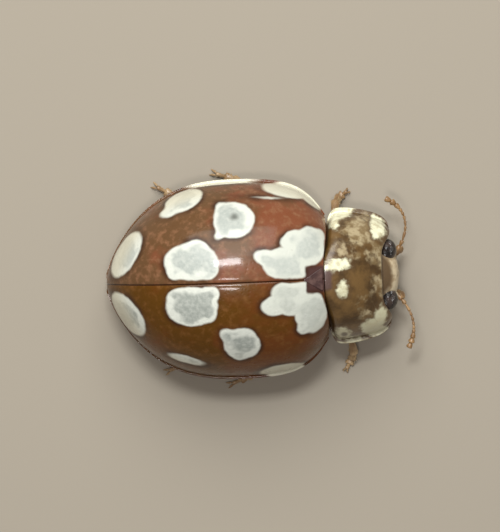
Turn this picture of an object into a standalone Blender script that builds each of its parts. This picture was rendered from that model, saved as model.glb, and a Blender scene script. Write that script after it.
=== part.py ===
"""A standing eighteen-spot ladybird at life size, as closed solids.

The beetle faces +X, its left side is +Y and it stands on the floor at z = 0. Lengths are in metres.
Wing cases and pronotum are thick shells over the trunk, the head is seated in the pronotum, and each
leg is one bent limb parted into femur, tibia and tarsus. A thin gap parts the pieces that touch.
"""

import math

import bmesh
import bpy
from mathutils import Matrix, Vector

MM = 0.001
GAP = 0.02 * MM  # between pieces that touch
FULLNESS = 2.15  # exponent of the domes' cross-section; 2 is an ellipse
ARC_STEPS = 12  # facets from a wing case's lower edge to its crest
TRUNK_ARC_STEPS = 8  # the same on the trunk and the pronotum

# Wing cases. Shares of their length run from the tip, 0, to the shoulders, 1.
ELYTRA_TIP_X = -2.50 * MM
ELYTRA_LENGTH = 3.73 * MM
ELYTRA_HALF_WIDTH = 1.683 * MM
ELYTRA_HEIGHT = 1.55 * MM
MARGIN_Z = 0.80 * MM  # their lower edge above the floor
MARGIN_RISE = 0.10 * MM  # how much higher that edge is at the shoulders
WIDEST = 0.60
HIGHEST = 0.56
SHELL = 0.50 * MM
LENGTH_STEPS = 20
TIP_SHARE = 0.003  # the tip is cut blunt here

# Trunk under the wing cases.
ABDOMEN_TIP_X = ELYTRA_TIP_X + 0.38 * MM
WAIST_X = -0.02 * MM  # where thorax and abdomen meet
BELLY_DEPTH = 0.27 * MM  # how far the belly hangs below the wing cases' edge
BELLY_FULLNESS = 2.6
STERNITES = 6  # plates under the abdomen
STERNITE_STEP = 0.03 * MM  # each plate's rear edge stands this far below the next plate

# Pronotum and the prothorax under it.
PRONOTUM_REAR_X = 1.25 * MM
PRONOTUM_WIDEST_X = 1.55 * MM
PRONOTUM_FRONT_X = 2.22 * MM
PRONOTUM_HALF_WIDTH = 1.15 * MM
PRONOTUM_HEIGHT = 1.04 * MM
PRONOTUM_MARGIN_Z = 0.92 * MM
PRONOTUM_DROOP = 0.08 * MM  # how much lower its edge is at the front
PRONOTUM_SLOPE = 0.38  # the share of its height lost at the front
PRONOTUM_CORNERS = 0.16 * MM  # how far its front corners reach ahead of its hollowed front edge
PRONOTUM_RIM = 0.14 * MM  # how far its underside hangs below its edge
PRONOTUM_SHELL = 0.36 * MM
PROTHORAX_FRONT_X = 2.04 * MM
PROTHORAX_FLOOR_Z = 0.60 * MM

# A small three-cornered plate between the wing cases' front ends.
SCUTELLUM_TIP_X = 0.84 * MM
SCUTELLUM_FRONT_X = 1.19 * MM
SCUTELLUM_HALF_WIDTH = 0.19 * MM
SCUTELLUM_FLOOR_Z = 1.62 * MM

HEAD_CENTRE = Vector((2.07, 0.0, 0.96)) * MM
HEAD_RADII = Vector((0.44, 0.51, 0.36)) * MM
HEAD_TILT = math.radians(24)  # nose down
EYE_CENTRE = Vector((2.25, 0.41, 1.02)) * MM
EYE_RADII = Vector((0.17, 0.19, 0.20)) * MM
LABRUM_CENTRE = Vector((2.42, 0.0, 0.74)) * MM
LABRUM_RADII = Vector((0.12, 0.25, 0.14)) * MM

# Limbs. Their paths are in millimetres, for the left side; a right limb is mirrored.
LIMB_SIDES = 9
HIP_Z, KNEE_Z, ANKLE_Z = 0.56, 0.52, 0.28
FEMUR_RADIUS = 0.25 * MM
TIBIA_RADIUS = 0.22 * MM
TARSUS_RADIUS = 0.21 * MM
STRETCH = 0.5 * MM  # the usual length of a tibia or tarsus, which sets the gap at the joints
END_REACH = 0.8  # how far a limb's domed end stands out, as a share of its radius
SOLE_DEPTH = 0.02 * MM  # how much of the tarsus is cut away to make its flat sole
TOE_Z = (TARSUS_RADIUS - SOLE_DEPTH) / MM
LEGS = {  # hip, knee, ankle and toe, seen from above
    "front_left": ((1.46, 0.36), (1.40, 0.98), (1.44, 1.26), (1.68, 1.42)),
    "front_right": ((1.46, 0.36), (1.62, 1.08), (1.66, 1.38), (1.50, 1.68)),
    "middle_left": ((0.76, 0.46), (0.34, 1.28), (-0.14, 1.62), (-0.66, 1.80)),
    "middle_right": ((0.76, 0.46), (0.42, 1.30), (-0.02, 1.64), (-0.50, 1.84)),
    "hind_left": ((0.06, 0.50), (-0.60, 1.08), (-1.20, 1.36), (-1.66, 1.62)),
    "hind_right": ((0.06, 0.50), (-0.54, 1.10), (-1.10, 1.38), (-1.56, 1.58)),
}
FEELER_RADIUS = 0.20 * MM
CLUB_RADIUS = 0.25 * MM
ANTENNAE = {
    "antenna_left": ((2.38, 0.32, 0.82), (2.58, 0.62, 0.86), (2.58, 0.98, 0.86), (2.34, 1.28, 0.84)),
    "antenna_right": ((2.38, 0.32, 0.82), (2.62, 0.58, 0.82), (2.70, 0.92, 0.78), (2.58, 1.26, 0.74)),
}
PALP_RADIUS = 0.15 * MM
PALP = ((2.30, 0.20, 0.62), (2.42, 0.32, 0.50), (2.54, 0.40, 0.40))

SMOOTH_BELOW = math.radians(50)
FINISHES = {  # base colour and roughness
    "wing_case": ((0.19, 0.075, 0.030, 1), 0.25),
    "pronotum": ((0.17, 0.080, 0.030, 1), 0.30),
    "head": ((0.55, 0.46, 0.29, 1), 0.40),
    "eye": ((0.010, 0.009, 0.009, 1), 0.15),
    "feeler": ((0.42, 0.24, 0.09, 1), 0.40),
    "underside": ((0.24, 0.11, 0.045, 1), 0.45),
    "leg": ((0.40, 0.21, 0.075, 1), 0.45),
}


# ---- making and cutting solids ----


def material(finish):
    """The material of a finish, made once."""
    made = bpy.data.materials.get(finish)
    if made is None:
        colour, roughness = FINISHES[finish]
        made = bpy.data.materials.new(finish)
        made.use_nodes = True
        shader = made.node_tree.nodes["Principled BSDF"]
        shader.inputs["Base Color"].default_value = colour
        shader.inputs["Roughness"].default_value = roughness
        shader.inputs["Metallic"].default_value = 0.0
    return made


def add_object(name, made, finish):
    """Turns the finished bmesh into an object of that name and finish."""
    bmesh.ops.recalc_face_normals(made, faces=made.faces)
    mesh = bpy.data.meshes.new(name)
    made.to_mesh(mesh)
    made.free()
    mesh.materials.append(material(finish))
    obj = bpy.data.objects.new(name, mesh)
    bpy.context.scene.collection.objects.link(obj)
    return obj


def loft(name, rings, finish):
    """A closed body through rings of points. A ring of one point is a pole; other ends are capped."""
    made = bmesh.new()
    loops = [[made.verts.new(point) for point in ring] for ring in rings]
    for first, second in zip(loops, loops[1:]):
        count = max(len(first), len(second))
        for k in range(count):
            after = (k + 1) % count
            corners = [first[k % len(first)], first[after % len(first)]]
            corners += [second[after % len(second)], second[k % len(second)]]
            made.faces.new(list(dict.fromkeys(corners)))
    for loop in (loops[0], loops[-1]):
        if len(loop) > 1:
            made.faces.new(loop)
    return add_object(name, made, finish)


def ball(name, centre, radii, finish, tilt=0.0, sides=18, rings=10):
    """An ellipsoid, turned nose down by tilt."""
    made = bmesh.new()
    turned = Matrix.Translation(centre) @ Matrix.Rotation(tilt, 4, "Y")
    place = turned @ Matrix.Diagonal(radii).to_4x4()
    bmesh.ops.create_uvsphere(made, u_segments=sides, v_segments=rings, radius=1.0, matrix=place)
    return add_object(name, made, finish)


def combine(host, other, operation):
    """Replaces host's mesh by its Boolean with other, and removes other."""
    modifier = host.modifiers.new(operation.title(), "BOOLEAN")
    modifier.operation = operation
    modifier.object = other
    graph = bpy.context.evaluated_depsgraph_get()
    mesh = bpy.data.meshes.new_from_object(host.evaluated_get(graph))
    host.modifiers.remove(modifier)
    host.data = mesh
    bpy.data.objects.remove(other)


def swollen(obj):
    """A copy of obj, larger all round by the gap."""
    copy = obj.copy()
    copy.data = obj.data.copy()
    bpy.context.scene.collection.objects.link(copy)
    normals = [vertex.normal.copy() for vertex in copy.data.vertices]
    for vertex, normal in zip(copy.data.vertices, normals):
        vertex.co += normal * GAP
    return copy


def seat(obj, *hosts):
    """Cuts the room that obj takes, and the gap round it, out of each host."""
    for host in hosts:
        combine(host, swollen(obj), "DIFFERENCE")


def spread(first, last, steps):
    """Places from first to last, closer together at both ends."""
    return [first + (last - first) * (1 - math.cos(math.pi * k / steps)) / 2 for k in range(steps + 1)]


def arc(width, height, fullness, first, last, steps):
    """Points (y, z) of a flattened or squared ellipse, from angle first to angle last."""
    points = []
    for k in range(steps + 1):
        angle = first + (last - first) * k / steps
        c, s = math.cos(angle), math.sin(angle)
        y = math.copysign(abs(c) ** (2 / fullness), c) * width
        z = math.copysign(abs(s) ** (2 / fullness), s) * height
        points.append((y, z))
    return points


def section(x, floor, width, height, depth):
    """A cross-section of the trunk at x: a dome above the floor and a flatter belly below it."""
    back = arc(width, height, FULLNESS, 0, math.pi, 2 * TRUNK_ARC_STEPS)
    belly = arc(width, depth, BELLY_FULLNESS, math.pi, 2 * math.pi, TRUNK_ARC_STEPS)[1:-1]
    return [(x, y, floor + z) for y, z in back + belly]


# ---- wing cases and what they cover ----


def elytra_share(x):
    return min(max((x - ELYTRA_TIP_X) / ELYTRA_LENGTH, TIP_SHARE), 1.0)


def elytra_half_width(share):
    back = max(WIDEST - share, 0) / WIDEST
    ahead = max(share - WIDEST, 0) / (1 - WIDEST)
    return ELYTRA_HALF_WIDTH * (1 - back**2.6) ** 0.7 * (1 - 0.10 * ahead**2 - 0.28 * ahead**5)


def elytra_height(share):
    back = max(HIGHEST - share, 0) / HIGHEST
    ahead = max(share - HIGHEST, 0) / (1 - HIGHEST)
    return ELYTRA_HEIGHT * (1 - back**2.2) ** 0.6 * (1 - 0.29 * ahead**2)


def margin_z(share):
    return MARGIN_Z + MARGIN_RISE * max(2 * share - 1, 0) ** 2


def make_wing_case(name, side):
    """Half of the outer dome, flat along the suture and the lower edge."""
    rings = []
    tip_x = ELYTRA_TIP_X + TIP_SHARE * ELYTRA_LENGTH
    for x in spread(tip_x, ELYTRA_TIP_X + ELYTRA_LENGTH, LENGTH_STEPS):
        share = elytra_share(x)
        floor = margin_z(share)
        width = elytra_half_width(share) - GAP / 2
        quarter = arc(width, elytra_height(share), FULLNESS, 0, math.pi / 2, ARC_STEPS)
        ring = [(x, side * (y + GAP / 2), floor + z) for y, z in quarter]
        ring.append((x, side * GAP / 2, floor))
        rings.append(ring)
    return loft(name, rings, "wing_case")


def make_core(name, inset, places, depth):
    """The trunk at the given places along X, with the wing cases' dome less an inset as its back.

    depth(x) is how far it reaches below the wing cases' edge.
    """
    rings = []
    for x in places:
        share = elytra_share(x)
        width, height = elytra_half_width(share) - inset, elytra_height(share) - inset
        rings.append(section(x, margin_z(share), width, height, depth(x)))
    return loft(name, rings, "underside")


def belly_depth(x):
    rear = max(WAIST_X - x, 0) / (WAIST_X - ABDOMEN_TIP_X)
    return BELLY_DEPTH * (1.04 - rear**3) ** 0.5


def make_abdomen():
    """The hind trunk. Its underside is a row of plates, each a little proud of the next."""
    plate = (WAIST_X - ABDOMEN_TIP_X - 2 * GAP) / STERNITES
    steps = {}
    for k in range(STERNITES):
        steps[WAIST_X - k * plate] = STERNITE_STEP
        steps[WAIST_X - (k + 0.85) * plate] = 0.0
    steps[WAIST_X - STERNITES * plate] = STERNITE_STEP
    return make_core("abdomen", SHELL + GAP, list(steps), lambda x: belly_depth(x) - steps[x])


def make_scutellum():
    """A deep wedge, later trimmed to the wing cases' dome."""
    length = SCUTELLUM_FRONT_X - SCUTELLUM_TIP_X
    outline = []
    for share in (0.0, 0.25, 0.5, 0.75, 1.0):
        outline.append((SCUTELLUM_TIP_X + length * share, SCUTELLUM_HALF_WIDTH * (share + 0.06) ** 0.8))
    outline += [(x, -y) for x, y in reversed(outline)]
    top = MARGIN_Z + 2 * ELYTRA_HEIGHT
    rings = [[(x, y, z) for x, y in outline] for z in (SCUTELLUM_FLOOR_Z, top)]
    return loft("scutellum", rings, "wing_case")


def build_trunk():
    """Wing cases, scutellum, thorax and abdomen. Returns thorax and abdomen."""
    front_x = ELYTRA_TIP_X + ELYTRA_LENGTH
    cases = [make_wing_case("elytron_left", 1), make_wing_case("elytron_right", -1)]
    for case in cases:
        places = spread(ABDOMEN_TIP_X, front_x + SHELL, LENGTH_STEPS)
        hollow = make_core("hollow", SHELL, places, lambda x: margin_z(1))
        combine(case, hollow, "DIFFERENCE")
    thorax = make_core("thorax", SHELL + GAP, spread(WAIST_X + GAP, front_x, 10), belly_depth)
    abdomen = make_abdomen()
    scutellum = make_scutellum()
    seat(scutellum, *cases)
    dome = make_core("dome", -GAP / 2, spread(0, front_x, LENGTH_STEPS), belly_depth)
    combine(scutellum, dome, "INTERSECT")
    return thorax, abdomen


# ---- pronotum, prothorax and head ----


def pronotum_share(x):
    return min(max((x - PRONOTUM_REAR_X) / (PRONOTUM_FRONT_X - PRONOTUM_REAR_X), 0), 1)


def pronotum_half_width(share):
    widest = pronotum_share(PRONOTUM_WIDEST_X)
    back = max(widest - share, 0) / widest
    ahead = max(share - widest, 0) / (1 - widest)
    return PRONOTUM_HALF_WIDTH * (1 - 0.26 * back**5 - 0.13 * ahead**1.5 - 0.14 * ahead**8)


def pronotum_section(x, inset, bottom):
    """A cross-section of the pronotum less an inset, down to the height bottom.

    Towards the front it is bowed, so that the sides run ahead of the middle.
    """
    share = pronotum_share(x)
    floor = PRONOTUM_MARGIN_Z - PRONOTUM_DROOP * share
    height = PRONOTUM_HEIGHT * (1 - PRONOTUM_SLOPE * share**1.6) - inset
    width = pronotum_half_width(share)
    bow = PRONOTUM_CORNERS * share**4
    ring = section(x, floor, width - inset, height, floor - bottom)
    return [(x + bow * ((y / width) ** 2 - 0.5), y, z) for x, y, z in ring]


def make_pronotum_form(name, inset, places, bottom, finish):
    """The pronotum's form less an inset. Its bowed ends close to a point in their middle."""
    rings = [pronotum_section(x, inset, bottom) for x in places]
    ends = [[sum((Vector(point) for point in ring), Vector()) / len(ring)] for ring in (rings[0], rings[-1])]
    return loft(name, [ends[0], *rings, ends[1]], finish)


def build_shield():
    """The pronotum, a hollow shield, and the prothorax that fills it. Returns both."""
    rim = PRONOTUM_MARGIN_Z - PRONOTUM_RIM
    places = spread(PRONOTUM_REAR_X, PRONOTUM_FRONT_X, 10)
    pronotum = make_pronotum_form("pronotum", 0, places, rim, "pronotum")
    past_both_ends = [PRONOTUM_REAR_X - SHELL, *places, PRONOTUM_FRONT_X + SHELL]
    hollow = make_pronotum_form("hollow", PRONOTUM_SHELL, past_both_ends, 0, "underside")
    combine(pronotum, hollow, "DIFFERENCE")
    inner = [x for x in places if x < PROTHORAX_FRONT_X]
    prothorax = make_pronotum_form(
        "prothorax", PRONOTUM_SHELL + GAP, inner, PROTHORAX_FLOOR_Z, "underside"
    )
    return pronotum, prothorax


def build_head(pronotum, prothorax):
    """The head, its lip and eyes, and the feelers and palps that stand on it."""
    head = ball("head", HEAD_CENTRE, HEAD_RADII, "head", HEAD_TILT, 20, 12)
    labrum = ball("labrum", LABRUM_CENTRE, LABRUM_RADII, "head", HEAD_TILT, 12, 6)
    seat(head, pronotum, prothorax)
    for side, sign in (("left", 1), ("right", -1)):
        mirror = Vector((1, sign, 1))
        eye = ball(f"eye_{side}", EYE_CENTRE * mirror, EYE_RADII, "eye", 0.0, 14, 8)
        seat(eye, head, pronotum)
        antenna = make_antenna(f"antenna_{side}", mirror)
        seat(antenna, head, eye, pronotum)
        palp = make_palp(f"palp_{side}", mirror)
        seat(palp, head)
    seat(labrum, head, *[bpy.data.objects[f"palp_{side}"] for side in ("left", "right")])


# ---- limbs ----


def along_path(points, place):
    """The point of the smooth curve through the points at a place from 0 to their last index."""
    k = min(max(int(place), 0), len(points) - 2)
    t = place - k
    p1, p2 = points[k], points[k + 1]
    p0 = points[k - 1] if k else 2 * p1 - p2
    p3 = points[k + 2] if k + 2 < len(points) else 2 * p2 - p1
    pull = (p2 - p0) * t + (2 * p0 - 5 * p1 + 4 * p2 - p3) * t**2
    pull += (3 * p1 - p0 - 3 * p2 + p3) * t**3
    return p1 + pull / 2


def heading(points, place):
    """The path's direction at a place."""
    return (along_path(points, place + 0.05) - along_path(points, place - 0.05)).normalized()


def limb_ring(points, place, radius):
    """A ring of the limb across its path."""
    ahead = heading(points, place)
    across = ahead.cross(Vector((0, 0, 1))).normalized()
    above = across.cross(ahead)
    ring = []
    for j in range(LIMB_SIDES):
        turn = 2 * math.pi * (j + 0.5) / LIMB_SIDES
        spoke = math.cos(turn) * across + math.sin(turn) * above
        ring.append(along_path(points, place) + radius * spoke)
    return ring


def round_end(points, place, radius, outward):
    """Rings of a domed end, from the path's place to the pole.

    outward is 1 for the far end of the path and -1 for its start.
    """
    centre = along_path(points, place)
    reach = heading(points, place) * outward * radius * END_REACH
    ring = limb_ring(points, place, radius)
    rings = [ring]
    for angle in (math.radians(32), math.radians(62)):
        spokes = [(point - centre) * math.cos(angle) for point in ring]
        rings.append([centre + spoke + reach * math.sin(angle) for spoke in spokes])
    rings.append([centre + reach])
    return rings


def make_limb(name, points, radii, first, last, finish, steps):
    """The stretch of a limb from place first to last, cut flat inside the path and domed at its ends."""
    rings = []
    for k in range(steps + 1):
        place = first + (last - first) * k / steps
        low = min(int(place), len(radii) - 2)
        radius = radii[low] + (radii[low + 1] - radii[low]) * (place - low)
        if place == 0:
            rings += reversed(round_end(points, place, radius, -1))
        elif place == len(points) - 1:
            rings += round_end(points, place, radius, 1)
        else:
            rings.append(limb_ring(points, place, radius))
    return loft(name, rings, finish)


def cut_sole(obj):
    """Cuts the piece flat at the floor."""
    made = bmesh.new()
    made.from_mesh(obj.data)
    everything = made.verts[:] + made.edges[:] + made.faces[:]
    floor = {"plane_co": (0, 0, 0), "plane_no": (0, 0, -1)}
    bmesh.ops.bisect_plane(made, geom=everything, clear_outer=True, **floor)
    rim = [edge for edge in made.edges if edge.is_boundary]
    bmesh.ops.contextual_create(made, geom=rim)
    bmesh.ops.recalc_face_normals(made, faces=made.faces)
    made.to_mesh(obj.data)
    made.free()


def make_leg(name, places):
    """Femur, tibia and tarsus as stretches of one limb. Returns the femur."""
    side = 1 if name.endswith("left") else -1
    heights = (HIP_Z, KNEE_Z, ANKLE_Z, TOE_Z)
    points = [Vector((x, side * y, z)) * MM for (x, y), z in zip(places, heights)]
    radii = (FEMUR_RADIUS, FEMUR_RADIUS, TIBIA_RADIUS, TARSUS_RADIUS)
    cut = 0.5 * GAP / STRETCH
    femur = make_limb(f"leg_{name}_femur", points, radii, 0, 1 - cut, "leg", 4)
    make_limb(f"leg_{name}_tibia", points, radii, 1 + cut, 2 - cut, "leg", 4)
    tarsus = make_limb(f"leg_{name}_tarsus", points, radii, 2 + cut, 3, "leg", 4)
    cut_sole(tarsus)
    return femur


def make_antenna(name, mirror):
    points = [Vector(point) * mirror * MM for point in ANTENNAE[name]]
    radii = (FEELER_RADIUS, FEELER_RADIUS, FEELER_RADIUS, CLUB_RADIUS)
    return make_limb(name, points, radii, 0, len(points) - 1, "feeler", 9)


def make_palp(name, mirror):
    points = [Vector(point) * mirror * MM for point in PALP]
    radii = (0.8 * PALP_RADIUS, PALP_RADIUS, PALP_RADIUS)
    return make_limb(name, points, radii, 0, len(points) - 1, "feeler", 4)


# ---- the whole beetle ----


def finish_all():
    """Sets the middle of the whole box's base on the origin, and shades the round pieces smooth."""
    corners = [vertex.co for obj in bpy.data.objects for vertex in obj.data.vertices]
    low = [min(corner[axis] for corner in corners) for axis in range(3)]
    high = [max(corner[axis] for corner in corners) for axis in range(3)]
    shift = Vector((-(low[0] + high[0]) / 2, -(low[1] + high[1]) / 2, -low[2]))
    for obj in bpy.data.objects:
        obj.data.transform(Matrix.Translation(shift))
        obj.data.shade_smooth()
        obj.data.set_sharp_from_angle(angle=SMOOTH_BELOW)


def main():
    for obj in list(bpy.data.objects):
        bpy.data.objects.remove(obj)
    thorax, abdomen = build_trunk()
    pronotum, prothorax = build_shield()
    build_head(pronotum, prothorax)
    for name, places in LEGS.items():
        femur = make_leg(name, places)
        hosts = (prothorax, pronotum) if name.startswith("front") else (thorax, abdomen)
        seat(femur, *hosts)
    finish_all()


main()
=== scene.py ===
# %% [markdown]
# # An eighteen-spot ladybird
# A ladybird is a beetle 5 mm long. Its fore wings are hard, domed cases that meet along the back, its
# thorax is roofed by a shield called the pronotum, and its pale face looks out from under that shield.
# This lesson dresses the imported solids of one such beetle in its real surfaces, piece by piece.

# %% Load the solids and open the toolbox
import math
import random

import bmesh
import bpy
from mathutils import Matrix, Vector, geometry


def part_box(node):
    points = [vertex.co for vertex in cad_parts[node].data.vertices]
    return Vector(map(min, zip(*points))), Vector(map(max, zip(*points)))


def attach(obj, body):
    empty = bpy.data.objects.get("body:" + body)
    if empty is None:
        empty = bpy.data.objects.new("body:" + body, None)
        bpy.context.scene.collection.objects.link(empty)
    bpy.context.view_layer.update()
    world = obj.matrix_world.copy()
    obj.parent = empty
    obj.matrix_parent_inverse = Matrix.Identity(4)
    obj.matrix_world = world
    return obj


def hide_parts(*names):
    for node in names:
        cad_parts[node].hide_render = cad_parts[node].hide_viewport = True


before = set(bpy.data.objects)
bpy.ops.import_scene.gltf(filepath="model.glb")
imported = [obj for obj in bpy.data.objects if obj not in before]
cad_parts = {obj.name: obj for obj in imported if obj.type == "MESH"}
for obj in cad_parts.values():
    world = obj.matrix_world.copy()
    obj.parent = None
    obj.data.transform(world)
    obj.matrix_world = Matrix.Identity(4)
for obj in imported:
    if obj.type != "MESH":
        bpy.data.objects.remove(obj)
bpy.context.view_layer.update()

# %% [markdown]
# ## Millimetres
# Many of Blender's tools merge points that lie closer than a tenth of a millimetre, which would spoil an
# insect's leg. So each piece is modelled a thousand times its size, one unit for each millimetre, and is
# shrunk when it is finished. Its numbers are measured from a point on the floor under the beetle's waist:
# X forward, Y to its left and Z up. The solids tell where that point lies in the frame.

# %% Find the waist point from the wing cases
MM = 0.001
CASES_FRONT = 1.23  # the wing cases' front edge, ahead of the waist point


def box_in_mm(node):
    low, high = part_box(node)
    return low / MM, high / MM


left_low, left_high = box_in_mm("elytron_left")
right_low = box_in_mm("elytron_right")[0]
WAIST = Vector((left_high.x - CASES_FRONT, (left_high.y + right_low.y) / 2, 0))
CASES_TIP = left_low.x - WAIST.x
CASES_WIDTH = left_high.y - WAIST.y
CASES_EDGE = left_low.z
CASES_HEIGHT = left_high.z - CASES_EDGE
print("waist point", WAIST, "tip", CASES_TIP, "half width", CASES_WIDTH, "height", CASES_HEIGHT)

# %% [markdown]
# ## Choosing what an operator acts on
# A modelling operator acts on everything that is selected. These helpers first let go of everything,
# then take hold of one object, or of those points, edges or faces of it that lie in a described place.

# %% Helpers that select


def let_go():
    if bpy.context.object and bpy.context.object.mode == "EDIT":
        bpy.ops.object.mode_set(mode="OBJECT")
    bpy.ops.object.select_all(action="DESELECT")


def hold(*pieces):
    let_go()
    for piece in pieces:
        piece.select_set(True)
    bpy.context.view_layer.objects.active = pieces[0]
    return pieces[0]


def open_up(piece):
    """Puts a piece into edit mode with all of it selected."""
    hold(piece)
    bpy.ops.object.mode_set(mode="EDIT")
    bpy.ops.mesh.select_mode(type="VERT")
    bpy.ops.mesh.select_all(action="SELECT")


def pick(kind, test):
    """Selects the points for which test(place) is true, or the faces for which test(middle, normal) is."""
    bpy.ops.mesh.select_mode(type=kind)
    bpy.ops.mesh.select_all(action="DESELECT")
    mesh = bpy.context.object.data
    made = bmesh.from_edit_mesh(mesh)
    found = 0
    for item in made.verts if kind == "VERT" else made.faces:
        if test(item.co) if kind == "VERT" else test(item.calc_center_median(), item.normal):
            item.select_set(True)
            found += 1
    made.select_flush(True)
    bmesh.update_edit_mesh(mesh)
    return found


let_go()
print("nothing is selected now:", not bpy.context.selected_objects)

# %% [markdown]
# ## Drawing a ring out
# An insect's body is a row of rings, so one method makes nearly every piece. A circle is drawn out
# through stations, and at each one it is scaled to the half width and half height that the body has there.

# %% Helpers that draw out and close
SAME_PLACE = 0.00002  # points closer than this are one point
NEAR = 0.0001  # room for rounding when an end is selected


def fix_place():
    """Makes the place, turn and size of what is held part of its shape."""
    bpy.ops.object.transform_apply(location=True, rotation=True, scale=True)


def begin(name, add, **settings):
    """Adds one of Blender's basic meshes, names it and opens it."""
    let_go()
    add(**settings)
    piece = bpy.context.object
    piece.name = name
    fix_place()
    open_up(piece)
    return piece


def new_ring(name, sides):
    """A circle of radius 1 across the X axis. Its first point is the leftmost."""
    upright = (math.pi / 2, 0, math.pi / 2)
    return begin(name, bpy.ops.mesh.primitive_circle_add, vertices=sides, radius=1, rotation=upright)


def extrude(x, y, z):
    bpy.ops.mesh.extrude_region_move(TRANSFORM_OT_translate={"value": (x, y, z)})


def scale(x, y, z, middle=(0, 0, 0)):
    bpy.ops.transform.resize(value=(x, y, z), center_override=middle)


def draw_out(stations):
    """Draws the selection through stations: each one's centre x, y, z, half width and half height."""
    x, y, z, width, height = stations[0]
    scale(1, width, height)
    bpy.ops.transform.translate(value=(x, y, z))
    for before, after in zip(stations, stations[1:]):
        extrude(*(Vector(after[:3]) - Vector(before[:3])))
        scale(1, after[3] / before[3], after[4] / before[4], after[:3])


def roll_rim(steps, middle):
    """Draws an open rim on in steps of length along X, width and height. The last two are shares."""
    for length, width, height in steps:
        extrude(length, 0, 0)
        scale(1, width, height, middle)


def nudge(test, shift, reach=0):
    """Moves the points that pass the test. Points within reach of them follow a little."""
    pick("VERT", test)
    soft = {"use_proportional_edit": True, "proportional_size": reach} if reach else {}
    bpy.ops.transform.translate(value=shift, **soft)


def draw_in(test):
    """Closes an open end by drawing its points together into one."""
    pick("VERT", test)
    bpy.ops.mesh.merge(type="CENTER")


def cap(test):
    """Closes an open end with one flat face."""
    pick("VERT", test)
    bpy.ops.mesh.edge_face_add()


def use_modifier(piece, kind, **settings):
    hold(piece)
    modifier = piece.modifiers.new(kind.title(), kind)
    for setting, value in settings.items():
        setattr(modifier, setting, value)
    bpy.ops.object.modifier_apply(modifier=modifier.name)


def round_off(piece, levels):
    use_modifier(piece, "SUBSURF", levels=levels, render_levels=levels)


def face_outwards(piece):
    open_up(piece)
    bpy.ops.mesh.remove_doubles(threshold=SAME_PLACE)
    bpy.ops.mesh.normals_make_consistent(inside=False)
    let_go()


def tube(name, profile, sides=12, flatness=1.0):
    """A closed spindle along X. The profile gives places along it and the radius at each."""
    spindle = new_ring(name, sides)
    draw_out([(x, 0, 0, radius, radius * flatness) for x, radius in profile])
    draw_in(lambda at: at.x > profile[-1][0] - NEAR)
    draw_in(lambda at: at.x < profile[0][0] + NEAR)
    face_outwards(spindle)
    return spindle


def at_tip(at):
    """A test for the thin end of a tube that runs from 0 to 1."""
    return at.x > 0.95


def copy_of(piece, name):
    """A copy with a mesh of its own."""
    hold(piece)
    bpy.ops.object.duplicate()
    copy = bpy.context.object
    copy.name = name
    return copy


def mirror_of(piece, name):
    """A copy for the beetle's other side."""
    copy = copy_of(piece, name)
    scale(1, -1, 1)
    fix_place()
    face_outwards(copy)
    return copy


def join(pieces, name):
    whole = hold(*pieces)
    bpy.ops.object.join()
    whole.name = name
    return whole


def lay_along(piece, start, end, thickness=1.0, roll=0.0):
    """Lays a piece that was made along X, from 0 to 1, from start to end. thickness scales it across."""
    way = Vector(end) - Vector(start)
    turn = way.to_track_quat("X", "Z").to_matrix() @ Matrix.Rotation(math.radians(roll), 3, "X")
    hold(piece)
    piece.location = start
    piece.rotation_euler = turn.to_euler()
    piece.scale = (way.length, thickness, thickness)
    fix_place()
    return piece


def lay_copy(piece, *where):
    """Lays a copy of a piece and keeps the piece itself."""
    return lay_along(copy_of(piece, piece.name + "_copy"), *where)


def set_down(piece, place, lean=0.0):
    """Leans a piece forward and moves it to its place."""
    hold(piece)
    piece.rotation_euler = (0, lean, 0)
    piece.location = place
    fix_place()


def settle(piece, nodes, finish, sharp=45):
    """Shrinks a finished piece to its real size, sets it in the frame and lets it stand for its solids."""
    hold(piece)
    scale(MM, MM, MM)
    bpy.ops.transform.translate(value=WAIST * MM)
    fix_place()
    bpy.ops.object.shade_smooth_by_angle(angle=math.radians(sharp))
    piece.data.materials.clear()
    piece.data.materials.append(finish)
    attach(piece, "root")
    if nodes:
        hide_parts(*nodes)
    print(piece.name, "has", len(piece.data.polygons), "faces")


# %% [markdown]
# ## Floor, light and camera
# A museum would set this beetle on a pale plinth under a broad, soft light. Its shell is glossy, so two
# smaller lamps beside the broad one give soft glints along the back. The camera looks almost straight
# down through a long lens, because a short one would make the middle of the dome too large.

# %% Set the floor
FLOOR_COLOUR = (0.34, 0.302, 0.243, 1)
FLOOR_SIZE = 0.4  # in metres
let_go()
bpy.ops.mesh.primitive_plane_add(size=FLOOR_SIZE, location=(0, 0, 0))
floor = bpy.context.object
floor.name = "floor"
floor_finish = bpy.data.materials.new("floor")
floor_finish.use_nodes = True
floor_shader = floor_finish.node_tree.nodes["Principled BSDF"]
floor_shader.inputs["Base Color"].default_value = FLOOR_COLOUR
floor_shader.inputs["Roughness"].default_value = 0.9
floor.data.materials.append(floor_finish)
print("floor", floor.dimensions)

# %% Hang the lamps
WARM_WHITE, COOL_WHITE, ROSY_WHITE = (1.0, 0.98, 0.94), (0.97, 0.99, 1.0), (1.0, 0.93, 0.91)
ROOM_LIGHT = 0.20
world = bpy.data.worlds.new("studio")
world.use_nodes = True
background = world.node_tree.nodes["Background"]
background.inputs["Color"].default_value = (*WARM_WHITE, 1)
background.inputs["Strength"].default_value = ROOM_LIGHT
bpy.context.scene.world = world
bpy.context.scene.view_settings.view_transform = "Standard"


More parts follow.
